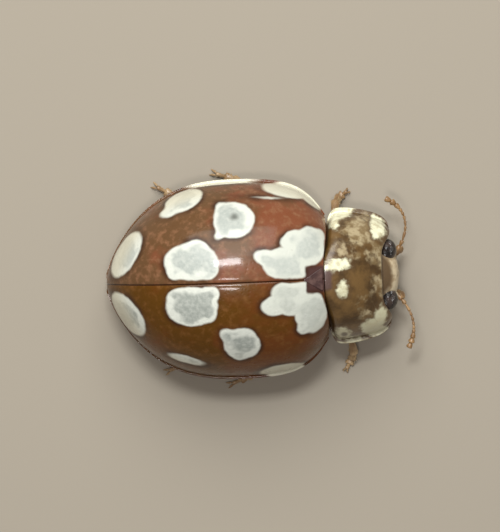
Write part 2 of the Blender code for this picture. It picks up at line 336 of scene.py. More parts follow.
def hang_lamp(name, place, width, depth, power, colour):
    """A lamp of width along X and of depth across it, in millimetres, facing the beetle's back."""
    bpy.ops.object.light_add(type="AREA", location=Vector(place) * MM)
    lamp = bpy.context.object
    lamp.name = name
    lamp.data.shape = "RECTANGLE"
    lamp.data.size = width * MM
    lamp.data.size_y = depth * MM
    lamp.data.energy = power
    lamp.data.color = colour
    lamp.rotation_euler = (Vector((0, 0, 1)) - Vector(place)).to_track_quat("-Z", "Y").to_euler()


hang_lamp("broad_lamp", (-4, 48, 50), 60, 44, 0.036, WARM_WHITE)
hang_lamp("long_lamp", (-3, 20, 53), 14, 7, 0.0175, COOL_WHITE)
hang_lamp("faint_lamp", (-2, -4.6, 56), 8.5, 5.5, 0.0073, ROSY_WHITE)

# %% Place the camera
CAMERA_DISTANCE = 80.0
VIEW_HEIGHT = 8.96  # millimetres of the scene from the frame's lower edge to its upper one
VIEW_TURN = math.radians(2.04)
VIEW_LEAN = math.radians(2.3)  # towards the beetle's left side
AIM_RIGHT, AIM_UP, AIM_HEIGHT = -0.059, 0.214, 0.9  # from the waist point
view_right = Vector((math.cos(VIEW_TURN), -math.sin(VIEW_TURN), 0))
view_up = Vector((math.sin(VIEW_TURN), math.cos(VIEW_TURN), 0))
target = WAIST + view_right * AIM_RIGHT + view_up * AIM_UP + Vector((0, 0, AIM_HEIGHT))
away = (Vector((0, 0, 1)) * math.cos(VIEW_LEAN) + view_up * math.sin(VIEW_LEAN)).normalized()
lens = bpy.data.cameras.new("long_lens")
lens.sensor_fit = "VERTICAL"
lens.lens = lens.sensor_height * CAMERA_DISTANCE / VIEW_HEIGHT
lens.clip_start = 0.001
camera = bpy.data.objects.new("camera", lens)
bpy.context.scene.collection.objects.link(camera)
camera_up = away.cross(view_right)
camera.matrix_world = Matrix.Translation((target + away * CAMERA_DISTANCE) * MM) @ Matrix(
    (view_right, camera_up, away)).transposed().to_4x4()
bpy.context.scene.camera = camera
print("lens", round(lens.lens, 1), "camera at", camera.matrix_world.translation)

# %% [markdown]
# ## Mixing a finish
# Each finish is a small chain of shader nodes. The chain starts from where a point is on the beetle, in
# the same millimetres as the modelling, so a cream mark can be placed as exactly as a leg.

# %% Helpers that mix a finish


def add_node(kind, sockets, **settings):
    """Adds a shader node. sockets gives each input a number, a colour or another node's output."""
    tree = next(value.id_data for value in sockets.values() if isinstance(value, bpy.types.NodeSocket))
    node = tree.nodes.new("ShaderNode" + kind)
    for setting, value in settings.items():
        setattr(node, setting, value)
    for socket, value in sockets.items():
        if isinstance(value, bpy.types.NodeSocket):
            tree.links.new(value, node.inputs[socket])
        else:
            node.inputs[socket].default_value = value
    return node


def feed(shader, socket, value):
    shader.id_data.links.new(value, shader.inputs[socket])


def sums(operation, *values):
    return add_node("Math", dict(enumerate(values)), operation=operation).outputs[0]


def new_finish(name, roughness, coat=0.0, coat_roughness=0.1):
    """A finish, its shader and where a point is, in millimetres from the waist point."""
    finish = bpy.data.materials.new(name)
    finish.use_nodes = True
    shader = finish.node_tree.nodes["Principled BSDF"]
    shader.inputs["Roughness"].default_value = roughness
    shader.inputs["Coat Weight"].default_value = coat
    shader.inputs["Coat Roughness"].default_value = coat_roughness
    metres = finish.node_tree.nodes.new("ShaderNodeTexCoord").outputs["Object"]
    grow = {"Vector": metres, "Location": -WAIST, "Scale": (1 / MM,) * 3}
    return finish, shader, add_node("Mapping", grow).outputs[0]


def along(place, axis):
    """How far a point lies along axis 0, 1 or 2: X, Y or Z."""
    return add_node("SeparateXYZ", {0: place}).outputs[axis]


def noise(place, scale_per_mm, detail=3.0, output="Fac"):
    sockets = {"Vector": place, "Scale": scale_per_mm, "Detail": detail, "Roughness": 0.55}
    return add_node("TexNoise", sockets).outputs[output]


def fade(value, low, high, first=0.0, last=1.0):
    """Goes smoothly from first, where value is low, to last, where it is high."""
    sockets = {"Value": value, "From Min": low, "From Max": high, "To Min": first, "To Max": last}
    return add_node("MapRange", sockets, interpolation_type="SMOOTHSTEP").outputs[0]


def clouds(place, per_mm, detail, low, high, first=0.0, last=1.0):
    """Soft patches: noise that fades from first to last between the values low and high."""
    return fade(noise(place, per_mm, detail), low, high, first, last)


def mix(share, first, second):
    sockets = {0: share, 6: first, 7: second}
    return add_node("Mix", sockets, data_type="RGBA").outputs[2]


def two_tone(place, per_mm, detail, low, high, first, second):
    """Two colours in soft patches."""
    return mix(clouds(place, per_mm, detail, low, high), first, second)


def wobbled(place, size, scale_per_mm):
    """Shifts places a little at random, so that an edge is never a perfect curve."""
    colour = noise(place, scale_per_mm, 2.0, "Color")
    centred = add_node("VectorMath", {0: colour, 1: (0.5,) * 3}, operation="SUBTRACT").outputs[0]
    sockets = {0: centred, 1: (size,) * 3, 2: place}
    return add_node("VectorMath", sockets, operation="MULTIPLY_ADD").outputs[0]


def lobe(place, x, y, z, long, wide, deep, yaw):
    """How many millimetres a point is outside an egg-shaped space. Inside, it is below nought."""
    sockets = {"Vector": place, "Location": (x, y, z), "Rotation": (0, 0, math.radians(yaw))}
    sockets["Scale"] = (long, wide, deep)
    local = add_node("Mapping", sockets, vector_type="TEXTURE").outputs[0]
    length = add_node("VectorMath", {0: local}, operation="LENGTH").outputs["Value"]
    return sums("MULTIPLY_ADD", length, min(long, wide), -min(long, wide))


def block(place, x, y, long, wide):
    """How far a point is outside an upright block, seen from above. Its sizes are half sizes."""
    local = add_node("VectorMath", {0: place, 1: (x, y, 0)}, operation="SUBTRACT").outputs[0]
    sizes = add_node("VectorMath", {0: local}, operation="ABSOLUTE").outputs[0]
    parts = add_node("SeparateXYZ", {0: sizes})
    past_end = sums("SUBTRACT", parts.outputs[0], long)
    past_side = sums("SUBTRACT", parts.outputs[1], wide)
    return sums("SMOOTH_MAX", past_end, past_side, 0.06)


def outline(place, lobes, blocks=(), notches=(), softness=0.10):
    """How far a point is outside a mark. Lobes flow into each other; blocks and notches are cut out."""
    edge = None
    for each in lobes:
        reach = lobe(place, *each)
        edge = reach if edge is None else sums("SMOOTH_MIN", edge, reach, softness)
    cuts = [block(place, *each) for each in blocks] + [lobe(place, *each) for each in notches]
    for cut in cuts:
        edge = sums("SMOOTH_MAX", edge, sums("MULTIPLY", cut, -1.0), 0.03)
    return edge


def nearest(edges):
    found = edges[0]
    for each in edges[1:]:
        found = sums("MINIMUM", found, each)
    return found


def bump(shader, height, strength, depth_mm, below=None):
    sockets = {"Height": height, "Strength": strength, "Distance": depth_mm * MM}
    if below is not None:
        sockets["Normal"] = below
    made = add_node("Bump", sockets).outputs[0]
    feed(shader, "Normal", made)
    return made


def pits(place, per_mm):
    """Small round pits: nought at a pit's middle and 1 between pits."""
    cells = add_node("TexVoronoi", {"Vector": place, "Scale": per_mm}, feature="F1")
    return fade(cells.outputs["Distance"], 0.05, 0.45)


def mottled_finish(name, gloss, patches, dark, light, grain, relief):
    """A finish of two colours in soft patches, under a fine relief.

    gloss is the roughness, the coat and the coat's roughness. patches is the noise's scale and
    detail and the values it fades between. grain is what makes the relief, noise or pits, and its
    settings. relief is the relief's strength and its depth in millimetres.
    """
    finish, shader, place = new_finish(name, *gloss)
    feed(shader, "Base Color", two_tone(place, *patches, dark, light))
    make_grain, *settings = grain
    bump(shader, make_grain(place, *settings), *relief)
    print(name, "nodes:", len(finish.node_tree.nodes))
    return finish


print("finish helpers are ready")

# %% [markdown]
# ## The cream marks
# Each wing case carries nine marks, and as some run together, six outlines draw them. Those on the back
# are placed by their outline from above and reach straight down through the shell. Those on the flank
# are egg-shaped spaces that the flank cuts through, so that they look round from the side too. A mark
# has a bright rim, a slightly greyer middle and a thin dark edge in the brown around it.

# %% List the marks, in millimetres
THROUGH = 9.0  # deep enough to go through the whole beetle


def from_above(*marks):
    """Lobes that reach through the beetle. The others have a z and a half depth of their own too."""
    return [(x, y, 0, long, wide, THROUGH, turn) for x, y, long, wide, turn in marks]


LEFT_MARKS = {
    "beside scutellum": {
        "lobes": from_above(
            # The second lobe, the finger at 0.67 forward and 0.67 to the left, is partly the mark and partly
            # a painted highlight.
            (0.93, 0.54, 0.28, 0.34, 0), (0.67, 0.67, 0.22, 0.16, 24), (0.48, 0.29, 0.33, 0.27, 0),
            (0.24, 0.40, 0.23, 0.14, -12), (0.73, 0.18, 0.20, 0.17, 0), (1.06, 0.70, 0.15, 0.14, 0)),
        "blocks": [(1.11, 0.00, 0.245, 0.23), (0.5, -0.50, 0.9, 0.535)],
        "softness": 0.04,
    },
    "middle": {
        "lobes": from_above(
            # The last lobe, the small corner at -0.53 and 0.81, is partly the mark and partly a painted
            # glint.
            (-0.29, 1.03, 0.35, 0.30, 0), (-0.47, 1.22, 0.12, 0.09, -30), (-0.53, 0.81, 0.10, 0.06, 40)),
    },
    "by the suture": {
        "lobes": from_above(
            (-1.02, 0.37, 0.46, 0.32, 0), (-0.93, 0.56, 0.22, 0.17, 0), (-0.74, 0.22, 0.17, 0.15, 0),
            (-1.30, 0.20, 0.14, 0.12, 0)),
        "blocks": [(-1.0, -0.50, 0.9, 0.565)],
        "softness": 0.06,
    },
    "flank, behind": {
        "lobes": [(-1.12, 1.36, 1.35, 0.33, 0.22, 0.50, 25), (-1.33, 1.21, 1.50, 0.20, 0.09, 0.30, 25),
                  (-0.50, 1.64, 0.86, 0.62, 0.075, 0.20, 3)],
        "softness": 0.05,
    },
    "tip": {"lobes": [(-2.11, 0.50, 1.36, 0.43, 0.21, 0.62, 55)]},
    "flank, ahead": {
        "lobes": [(0.66, 1.50, 1.18, 0.47, 0.19, 0.45, -3), (0.98, 1.27, 0.98, 0.24, 0.12, 0.36, -35),
                  (0.32, 1.372, 1.60, 0.17, 0.016, 0.05, -3)],
        "softness": 0.03,
    },
}
RIGHT_MARKS = {
    "beside scutellum": {
        "lobes": from_above(
            (0.93, -0.56, 0.27, 0.34, 0), (0.80, -0.81, 0.12, 0.10, 0), (1.02, -0.36, 0.13, 0.14, 0),
            (0.60, -0.20, 0.33, 0.20, 0), (0.35, -0.40, 0.25, 0.17, 8), (0.80, -0.12, 0.13, 0.12, 0),
            (0.60, -0.44, 0.20, 0.15, 0)),
        "blocks": [(1.11, 0.00, 0.24, 0.22), (0.6, 0.50, 0.9, 0.535)],
        "notches": from_above((0.51, -0.76, 0.20, 0.17, 0)),
        "softness": 0.04,
    },
    "middle": {
        "lobes": from_above((-0.23, -1.03, 0.31, 0.28, 0), (-0.43, -0.90, 0.18, 0.12, -32)),
        "softness": 0.06,
    },
    "by the suture": {
        "lobes": from_above(
            (-1.04, -0.37, 0.44, 0.34, 0), (-0.73, -0.17, 0.16, 0.16, 0), (-0.77, -0.50, 0.14, 0.14, 0),
            (-1.27, -0.19, 0.18, 0.13, 20)),
        "blocks": [(-1.0, 0.50, 0.9, 0.540)],
        "softness": 0.05,
    },
    "flank, behind": {"lobes": [(-1.18, -1.28, 1.55, 0.32, 0.085, 0.17, -14)]},
    "tip": {"lobes": [(-2.12, -0.50, 1.36, 0.43, 0.24, 0.62, -52)]},
    "flank, ahead": {"lobes": [(0.47, -1.55, 1.08, 0.43, 0.19, 0.46, -3)]},
}
DARK_DOT = (-0.29, 1.085, 0, 0.075, 0.055, THROUGH, 0)  # in the left middle mark
BY_SCUTELLUM = (1.10, 0.0, 0.25, 0.215)  # a dark field round the scutellum
print("marks on the left:", ", ".join(LEFT_MARKS))

# %% Mix the wing cases' finish
# 1 is the left case and -1 the right one. The two cases are one shell: the right case's darker browns and
# greyer cream middles are painted shade, and the left's lighter ones are painted light.
CREAM_RIM = (0.70, 0.725, 0.645, 1)
CREAM_AHEAD = (0.62, 0.645, 0.565, 1)  # of the marks beside the scutellum
# The right case's darker cream middles are painted shade; the left's are the lit copy.
CREAM_MIDDLES_LIT_AND_SHADED = {1: (0.40, 0.435, 0.40, 1), -1: (0.315, 0.340, 0.305, 1)}
AHEAD_SHARES = {1: 0.75, -1: 0.45}  # how grey the middles of those marks are
WARM_CREAM = (0.70, 0.66, 0.50, 1)  # on the flanks
PURPLE_BROWN = (0.075, 0.036, 0.032, 1)
# Each brown has a lighter copy for the left case and a darker one for the right: painted light and painted
# shade.
RED_BROWN_LIT_AND_SHADED = {1: (0.195, 0.064, 0.028, 1), -1: (0.125, 0.038, 0.006, 1)}
AMBER_LIT_AND_SHADED = {1: (0.125, 0.062, 0.025, 1), -1: (0.098, 0.039, 0.003, 1)}
PALER_LIT_AND_SHADED = {1: (0.250, 0.120, 0.060, 1), -1: (0.165, 0.068, 0.016, 1)}
DARK_BROWN = (0.040, 0.014, 0.005, 1)
CREAM_SPECKS, DOT_GREY = (0.60, 0.62, 0.56, 1), (0.16, 0.17, 0.15, 1)


def wing_case_finish(name, marks, side):
    finish, shader, place = new_finish(name, 0.34, coat=0.45, coat_roughness=0.10)
    shader.inputs["Specular IOR Level"].default_value = 0.13
    shader.inputs["Coat IOR"].default_value = 1.38
    x, y, z = [along(place, axis) for axis in range(3)]
    loose = wobbled(place, 0.06, 4.0)
    outside = nearest([outline(loose, **mark) for mark in marks.values()])
    # the ground: brown patches, darker on the right case as painted shade, pale specks, the field round the
    # scutellum and the marks' dark edges
    patches = sums("ADD", noise(place, 1.6), fade(x, -1.3, 0.6, 0.15, -0.12))
    ground = mix(fade(patches, 0.38, 0.62), RED_BROWN_LIT_AND_SHADED[side], AMBER_LIT_AND_SHADED[side])
    ground = two_tone(place, 9.0, 4.0, 0.45, 0.80, ground, PALER_LIT_AND_SHADED[side])
    ground = mix(fade(block(loose, *BY_SCUTELLUM), 0.05, -0.03), ground, PURPLE_BROWN)
    edge_share = clouds(place, 2.2, 3.0, 0.35, 0.65, 0.15, 0.95)
    edge_share = sums("MULTIPLY", fade(outside, 0.09, 0.01), edge_share)
    ground = mix(edge_share, ground, DARK_BROWN)
    # the cream: greyer middles, darker on the right case as painted shade, fine specks, a dot on the left
    # case and a warmer tone on the flanks
    inner = [outline(loose, mark["lobes"], mark.get("blocks", ()), softness=0.22)
             for mark in marks.values()]
    forward = fade(x, -0.1, 0.3)
    rim_width = clouds(place, 3.2, 2.0, 0.35, 0.65, -0.045, 0.05)
    middle_share = fade(sums("ADD", nearest(inner), rim_width), -0.04, -0.13)
    ahead_share = fade(forward, 0.0, 1.0, 1.0, AHEAD_SHARES[side])
    middle_share = sums("MULTIPLY", middle_share, ahead_share)
    cream = mix(middle_share, mix(forward, CREAM_RIM, CREAM_AHEAD), CREAM_MIDDLES_LIT_AND_SHADED[side])
    cream = mix(clouds(place, 14.0, 4.0, 0.30, 0.75, 0.0, 0.5), cream, CREAM_SPECKS)
    if side > 0:
        cream = mix(fade(lobe(loose, *DARK_DOT), 0.03, -0.05), cream, DOT_GREY)
    cream = mix(fade(z, 1.3, 1.7, 0.7, 0.0), cream, WARM_CREAM)
    colour = mix(fade(outside, 0.02, -0.02), ground, cream)
    # the dark seam where the cases meet
    seam = fade(sums("ABSOLUTE", y), 0.020, 0.004)
    feed(shader, "Base Color", mix(seam, colour, DARK_BROWN))
    dull = clouds(place, 6.0, 4.0, 0.30, 0.70, 0.26, 0.42)
    feed(shader, "Roughness", dull)
    waves = bump(shader, noise(place, 2.5, 3.0), 0.35, 0.030)
    bump(shader, pits(place, 15.0), 0.30, 0.006, waves)
    return finish


left_case_finish = wing_case_finish("wing_case_left", LEFT_MARKS, 1)
right_case_finish = wing_case_finish("wing_case_right", RIGHT_MARKS, -1)
print("wing case nodes:", len(left_case_finish.node_tree.nodes))

# %% [markdown]
# ## Wing cases
# A wing case is a quarter of a dome, thinner than paper. Its outer edge is turned out into a narrow
# gutter and then folded under, where it clasps the belly. A plain sphere would give the wrong outline, so
# the case is drawn out from its profile: a quarter ring with the gutter added, scaled at each station.

# %% Give the cases their outline
WIDEST, HIGHEST = 0.60, 0.56  # as shares of the length, from the tip
EDGE_RISE = 0.10


def spread(first, last, steps):
    """Places from first to last, closer together at both ends."""
    return [first + (last - first) * (1 - math.cos(math.pi * k / steps)) / 2 for k in range(steps + 1)]


def behind_and_ahead(share, middle):
    """How far a share lies behind middle and how far ahead of it, each from 0 to 1."""
    return max(middle - share, 0) / middle, max(share - middle, 0) / (1 - middle)


def case_station(share):
    x = CASES_TIP + (CASES_FRONT - CASES_TIP) * share
    behind, ahead = behind_and_ahead(share, WIDEST)
    width = CASES_WIDTH * (1 - behind**2.6) ** 0.7 * (1 - 0.10 * ahead**2 - 0.28 * ahead**5)
    behind, ahead = behind_and_ahead(share, HIGHEST)
    height = CASES_HEIGHT * (1 - behind**2.2) ** 0.6 * (1 - 0.29 * ahead**2)
    return x, 0, CASES_EDGE + EDGE_RISE * max(2 * share - 1, 0) ** 2, width, height


def case_at(x):
    return case_station((x - CASES_TIP) / (CASES_FRONT - CASES_TIP))


case_stations = [case_station(share) for share in spread(0.003, 1, 36)]
print("widest station", max(case_stations, key=lambda station: station[3]))

# %% Draw out the left wing case
SHELL_THICKNESS = 0.05
SEAM = 0.002  # half the gap between the two cases
# The pronotum's rear edge bows back in the middle, and the cases' fronts give way.
BOW, BOW_HALF_WIDTH, BOW_REACH = 0.065, 0.25, 0.55
case_left = new_ring("wing_case_left", 72)
pick("VERT", lambda at: at.y < -0.01 or at.z < -0.01)
bpy.ops.mesh.delete(type="VERT")
pick("VERT", lambda at: True)
scale(1, 0.97, 1)
pick("VERT", lambda at: at.z < 0.01)
for across, up in ((0.022, 0.004), (0.010, 0.004), (0.000, -0.022), (-0.050, -0.022), (-0.080, 0.010)):
    extrude(0, across, up)
bpy.ops.mesh.select_all(action="SELECT")
draw_out(case_stations)
above_gutter = CASES_EDGE + EDGE_RISE + 0.02
pick("VERT", lambda at: at.x > CASES_FRONT - 0.001 and at.z > above_gutter)
roll_rim(((0.010, 0.985, 0.975), (-0.030, 0.960, 0.920)), (CASES_FRONT, 0, CASES_EDGE + EDGE_RISE))
nudge(lambda at: at.x > CASES_FRONT - 0.04 and at.y < BOW_HALF_WIDTH, (-BOW, 0, 0), BOW_REACH)
print("points in the left case:", len(bmesh.from_edit_mesh(case_left.data).verts))

# %% Close its tip, turn its seam edge down, give it a thickness and raise its shoulder
SHOULDER = Vector((0.93, 0.82, 1.75))
tip_x = case_stations[0][0]
pick("VERT", lambda at: at.x < tip_x + 0.002)
scale(0, 0, 0, (tip_x, 0, CASES_EDGE + 0.02))
pick("VERT", lambda at: at.y < 0.001 and at.x > tip_x + 0.01)
extrude(0, -0.010, -0.05)
face_outwards(case_left)
open_up(case_left)
top_down = pick("FACE", lambda at, normal: normal.z < -0.5 and at.z > CASES_EDGE + 1.0)
print("faces on the back that point down:", top_down)
use_modifier(case_left, "SOLIDIFY", thickness=SHELL_THICKNESS, offset=-1, use_even_offset=False)
round_off(case_left, 2)
open_up(case_left)
bpy.ops.transform.translate(value=(0, SEAM, 0))
nudge(lambda at: (at - SHOULDER).length < 0.08, (0, 0.006, 0.016), 0.35)
case_right = mirror_of(case_left, "wing_case_right")
settle(case_left, ["elytron_left"], left_case_finish)
settle(case_right, ["elytron_right"], right_case_finish)

# %% [markdown]
# ## Scutellum
# Where the two cases meet the pronotum lies a small three-cornered plate, the scutellum. It starts as a
# flat triangle with blunted corners, is raised, and gets a slight crown on an inset top. It leans forward
# as the dome does there, and lies almost flush with the shells.

# %% Mix the scutellum's finish
scutellum_finish = mottled_finish(
    "scutellum", (0.38, 0.4, 0.15), (9.0, 3.0, 0.35, 0.70), (0.055, 0.026, 0.024, 1),
    (0.130, 0.072, 0.062, 1), (pits, 18.0), (0.4, 0.006))

# %% Build the scutellum
plate_low, plate_high = box_in_mm("scutellum")
plate_length, plate_half_width = plate_high.x - plate_low.x, plate_high.y - WAIST.y
PLATE_LEAN = math.radians(22)
PLATE_THICKNESS, PLATE_CROWN = 0.05, 0.003
PLATE_BACK, PLATE_SINK = 0.05, 0.012  # it keeps clear of the pronotum and lies almost flush
scutellum = begin("scutellum_plate", bpy.ops.mesh.primitive_circle_add, vertices=3, radius=1,
                  fill_type="NGON", rotation=(0, 0, math.pi / 2))
scale(plate_length / 1.5, plate_half_width / (math.sqrt(3) / 2), 1)
bpy.ops.mesh.bevel(offset=0.035, segments=3, affect="VERTICES")
extrude(0, 0, PLATE_THICKNESS)
bpy.ops.mesh.inset(thickness=0.010)
bpy.ops.mesh.poke()
nudge(lambda at: at.xy.length < 0.01 and at.z > PLATE_THICKNESS - 0.01, (0, 0, PLATE_CROWN))
face_outwards(scutellum)
round_off(scutellum, 3)
plate_x = plate_high.x - WAIST.x - plate_length / 3 - PLATE_BACK
under_plate = case_at(plate_x)
dome_top = under_plate[2] + under_plate[4]
set_down(scutellum, (plate_x, 0, dome_top - PLATE_THICKNESS - PLATE_SINK), PLATE_LEAN)
settle(scutellum, ["scutellum"], scutellum_finish)

# %% [markdown]
# ## Pronotum
# The pronotum is a shield over the thorax, half as long as it is wide. It is domed in the middle, flat
# along its sides and hollowed in front, where the head fits in. Here it is brown, with cream in its four
# corners and two cream spots on its base.

# %% Mix the pronotum's finish
SHIELD_CREAM = from_above(
    (1.52, 1.08, 0.27, 0.12, 30), (1.37, 0.95, 0.11, 0.13, 0), (2.11, 0.79, 0.12, 0.20, 12),
    (1.40, 0.22, 0.21, 0.11, 8), (1.48, -0.19, 0.095, 0.13, 0), (1.47, -0.96, 0.15, 0.11, 0),
    (1.66, -1.12, 0.30, 0.050, 5), (1.99, -0.89, 0.22, 0.15, -12), (2.11, -0.71, 0.10, 0.20, -5))
SHIELD_TAN_AND_SHEEN = from_above(
    (1.82, 0.76, 0.28, 0.26, 0), (2.10, 0.30, 0.10, 0.24, 0), (2.11, -0.12, 0.11, 0.16, 0),
    # The patch at 1.48 forward and 0.52 to the left is a painted sheen: a reflection on the shield painted
    # in the mottled tan.
    (1.87, -0.58, 0.07, 0.14, 15), (1.48, 0.52, 0.09, 0.15, 0), (1.78, 0.37, 0.16, 0.035, 0))
SHIELD_DOT = (1.49, -0.97, 0, 0.055, 0.04, THROUGH, 0)
SHIELD_BASE = (1.20, -0.03, 0.10, 0.15)  # a purple-brown field before the scutellum
SHIELD_BROWNS = (0.060, 0.030, 0.007, 1), (0.150, 0.082, 0.024, 1)
SHIELD_TANS = (0.21, 0.145, 0.065, 1), (0.42, 0.34, 0.20, 1)
CREAM_SHADE, CREAM_SUNNY = (0.58, 0.56, 0.38, 1), (0.86, 0.86, 0.62, 1)  # on its right and its left
CREAM_CLOUDS, CREAM_EDGE = (0.55, 0.50, 0.32, 1), (0.10, 0.055, 0.020, 1)
DOT_BROWN, BASE_BROWN = (0.14, 0.11, 0.07, 1), (0.095, 0.052, 0.042, 1)
shield_finish, shader, place = new_finish("pronotum", 0.36, coat=0.45, coat_roughness=0.14)
loose = wobbled(place, 0.09, 4.0)
ground = two_tone(place, 3.2, 4.0, 0.35, 0.65, *SHIELD_BROWNS)
# the tan patches and the painted sheen among them
tan = nearest([lobe(loose, *each) for each in SHIELD_TAN_AND_SHEEN])
tan = sums("ADD", tan, clouds(place, 8.0, 3.0, 0.3, 0.7, -0.07, 0.09))
mottled = two_tone(place, 7.0, 5.0, 0.38, 0.62, *SHIELD_TANS)
ground = mix(fade(tan, 0.08, -0.10), ground, mottled)
cream = nearest([lobe(loose, *each) for each in SHIELD_CREAM])
cream = sums("ADD", cream, clouds(place, 9.0, 3.0, 0.3, 0.7, -0.02, 0.025))
ground = mix(fade(cream, 0.08, 0.0), ground, CREAM_EDGE)
bright = mix(fade(along(place, 1), -0.5, 0.1), CREAM_SHADE, CREAM_SUNNY)
bright = two_tone(place, 9.0, 4.0, 0.35, 0.70, bright, CREAM_CLOUDS)
colour = mix(fade(cream, 0.035, -0.035), ground, bright)
colour = mix(fade(lobe(place, *SHIELD_DOT), 0.02, -0.02), colour, DOT_BROWN)
colour = mix(fade(block(loose, *SHIELD_BASE), 0.04, -0.03), colour, BASE_BROWN)
feed(shader, "Base Color", colour)
waves = bump(shader, noise(place, 4.0, 3.0), 0.35, 0.025)
bump(shader, pits(place, 17.0), 0.35, 0.006, waves)
print("pronotum nodes:", len(shield_finish.node_tree.nodes))

# %% Draw out the pronotum
shield_low, shield_high = box_in_mm("pronotum")
SHIELD_CORNERS = 0.16  # how far its front corners reach ahead of the middle of its front edge
SHIELD_REAR, SHIELD_FRONT = shield_low.x - WAIST.x, shield_high.x - WAIST.x - SHIELD_CORNERS / 2
SHIELD_HALF_WIDTH = shield_high.y - WAIST.y
SHIELD_EDGE = 0.92
SHIELD_HEIGHT = shield_high.z - SHIELD_EDGE
SHIELD_WIDEST = 0.31  # as a share of its length, from the rear


def shield_station(share):
    x = SHIELD_REAR + (SHIELD_FRONT - SHIELD_REAR) * share
    behind, ahead = behind_and_ahead(share, SHIELD_WIDEST)
    width = SHIELD_HALF_WIDTH * (1 - 0.26 * behind**5 - 0.13 * ahead**1.5 - 0.14 * ahead**8)
    return x, 0, SHIELD_EDGE - 0.08 * share, width, SHIELD_HEIGHT * (1 - 0.38 * share**1.6)


shield_stations = [shield_station(share) for share in spread(0, 1, 16)]
pronotum = new_ring("pronotum_shield", 72)
pick("VERT", lambda at: at.z < -0.01)
bpy.ops.mesh.delete(type="VERT")
pick("VERT", lambda at: True)
scale(1, 0.92, 1)
pick("VERT", lambda at: at.z < 0.01)
for outward, up in ((1.05, 0.004), (1.035, 0.006), (1.0, -0.030), (0.96, -0.035), (0.94, 0.010)):
    extrude(0, 0, up)
    scale(1, outward, 1)
bpy.ops.mesh.select_all(action="SELECT")
draw_out(shield_stations)
above_roll = shield_stations[-1][2] + 0.012
pick("VERT", lambda at: at.x > SHIELD_FRONT - 0.001 and at.z > above_roll)
roll_rim(((0.020, 0.985, 0.950), (-0.040, 0.970, 0.920)), shield_stations[-1][:3])
pick("VERT", lambda at: at.x < SHIELD_REAR + 0.001)
roll_rim(((-0.010, 0.990, 0.980), (0.030, 0.970, 0.920)), shield_stations[0][:3])
print("points in the pronotum:", len(bmesh.from_edit_mesh(pronotum.data).verts))

# %% Hollow its front for the head, bow its rear edge and give it a thickness
HALF_HOLLOW = SHIELD_CORNERS / 2
SHIELD_CORNER_Y = 0.80
at_front = SHIELD_FRONT - 0.06
nudge(lambda at: abs(at.y) < 0.30 and at.x > at_front, (-HALF_HOLLOW, 0, 0), 0.6)
nudge(lambda at: abs(abs(at.y) - SHIELD_CORNER_Y) < 0.10 and at.x > at_front,
      (HALF_HOLLOW, 0, -0.01), 0.35)
nudge(lambda at: abs(at.y) < BOW_HALF_WIDTH and at.x < SHIELD_REAR + 0.04, (-BOW, 0, 0), BOW_REACH)
face_outwards(pronotum)
use_modifier(pronotum, "SOLIDIFY", thickness=SHELL_THICKNESS, offset=-1)
round_off(pronotum, 2)
settle(pronotum, ["pronotum"], shield_finish)

# %% [markdown]
# ## Head
# The head is a rounded box, set into the pronotum as far as the eyes and pointing a little down. The face
# between the eyes is pale. A ball turned with its poles forward gives the box. The clypeus, the plate
# above the mouth, is laid on it, and the lip hangs below as a plate of its own. A socket holds each feeler,
# and beside it a thin bar of the cheek cuts into the eye.

# %% Mix the face's finish
FACE_PALE, FACE_TAN = (0.60, 0.50, 0.33, 1), (0.34, 0.235, 0.125, 1)
CROWN, CROWN_BROWN = (2.05, 0, 1.35, 0.30, 0.42, 0.32, 0), (0.115, 0.070, 0.032, 1)
head_finish, shader, place = new_finish("face", 0.42, coat=0.3, coat_roughness=0.2)
loose = wobbled(place, 0.10, 7.0)
pale = two_tone(place, 6.0, 4.0, 0.42, 0.66, FACE_PALE, FACE_TAN)
colour = mix(fade(lobe(loose, *CROWN), 0.08, -0.04), pale, CROWN_BROWN)
feed(shader, "Base Color", colour)
bump(shader, pits(place, 22.0), 0.45, 0.006)
print("face nodes:", len(head_finish.node_tree.nodes))

# %% Model the head
HEAD_MIDDLE = Vector((2.07, 0, 0.96))
HEAD_TILT = math.radians(24)
head = begin("head_capsule", bpy.ops.mesh.primitive_uv_sphere_add, segments=32, ring_count=20,
             radius=1, rotation=(0, math.pi / 2, 0))
scale(0.43, 0.50, 0.34)
pick("VERT", lambda at: at.x > 0.28)
scale(0.7, 1.12, 0.92, (0.28, 0, 0))
face_outwards(head)
round_off(head, 2)
set_down(head, HEAD_MIDDLE, HEAD_TILT)
print("head box", [round(side, 2) for side in head.dimensions])

# %% Add the clypeus, the feelers' sockets and the bars that cut into the eyes


def face_plate(name, place, depth, width, height, taper):
    """A rounded plate on the face. Its points are picked while it is still a cube of size 1.

    taper is its lower edge's width as a share of its upper edge's."""
    let_go()
    bpy.ops.mesh.primitive_cube_add(size=1, rotation=(0, HEAD_TILT, 0), location=place)
    plate = bpy.context.object
    plate.name = name
    plate.scale = (depth, width, height)
    open_up(plate)
    bpy.ops.mesh.subdivide(number_cuts=3)
    pick("VERT", lambda at: at.z < -0.1)
    scale(0.85, taper, 1, place)
    nudge(lambda at: abs(at.y) > 0.2, (-0.25 * depth, 0, 0))
    round_off(plate, 2)
    fix_place()
    return plate


clypeus = face_plate("clypeus", (2.378, 0, 0.80), 0.10, 0.50, 0.15, 0.80)
socket = tube("socket", ((0.0, 0.060), (0.5, 0.066), (0.9, 0.058), (1.0, 0.040)), 16)
bar = tube("bar", ((0.0, 0.060), (0.4, 0.058), (0.75, 0.048), (0.93, 0.034), (1.0, 0.016)), 12, 0.6)
face_parts = [head, clypeus]
for side in (1, -1):
    face_parts.append(lay_copy(socket, (2.31, 0.27 * side, 0.84), (2.372, 0.305 * side, 0.84)))
    face_parts.append(lay_copy(bar, (2.330, 0.25 * side, 0.895), (2.398, 0.44 * side, 0.965)))
head = join(face_parts, "head_capsule")
settle(head, ["head"], head_finish)

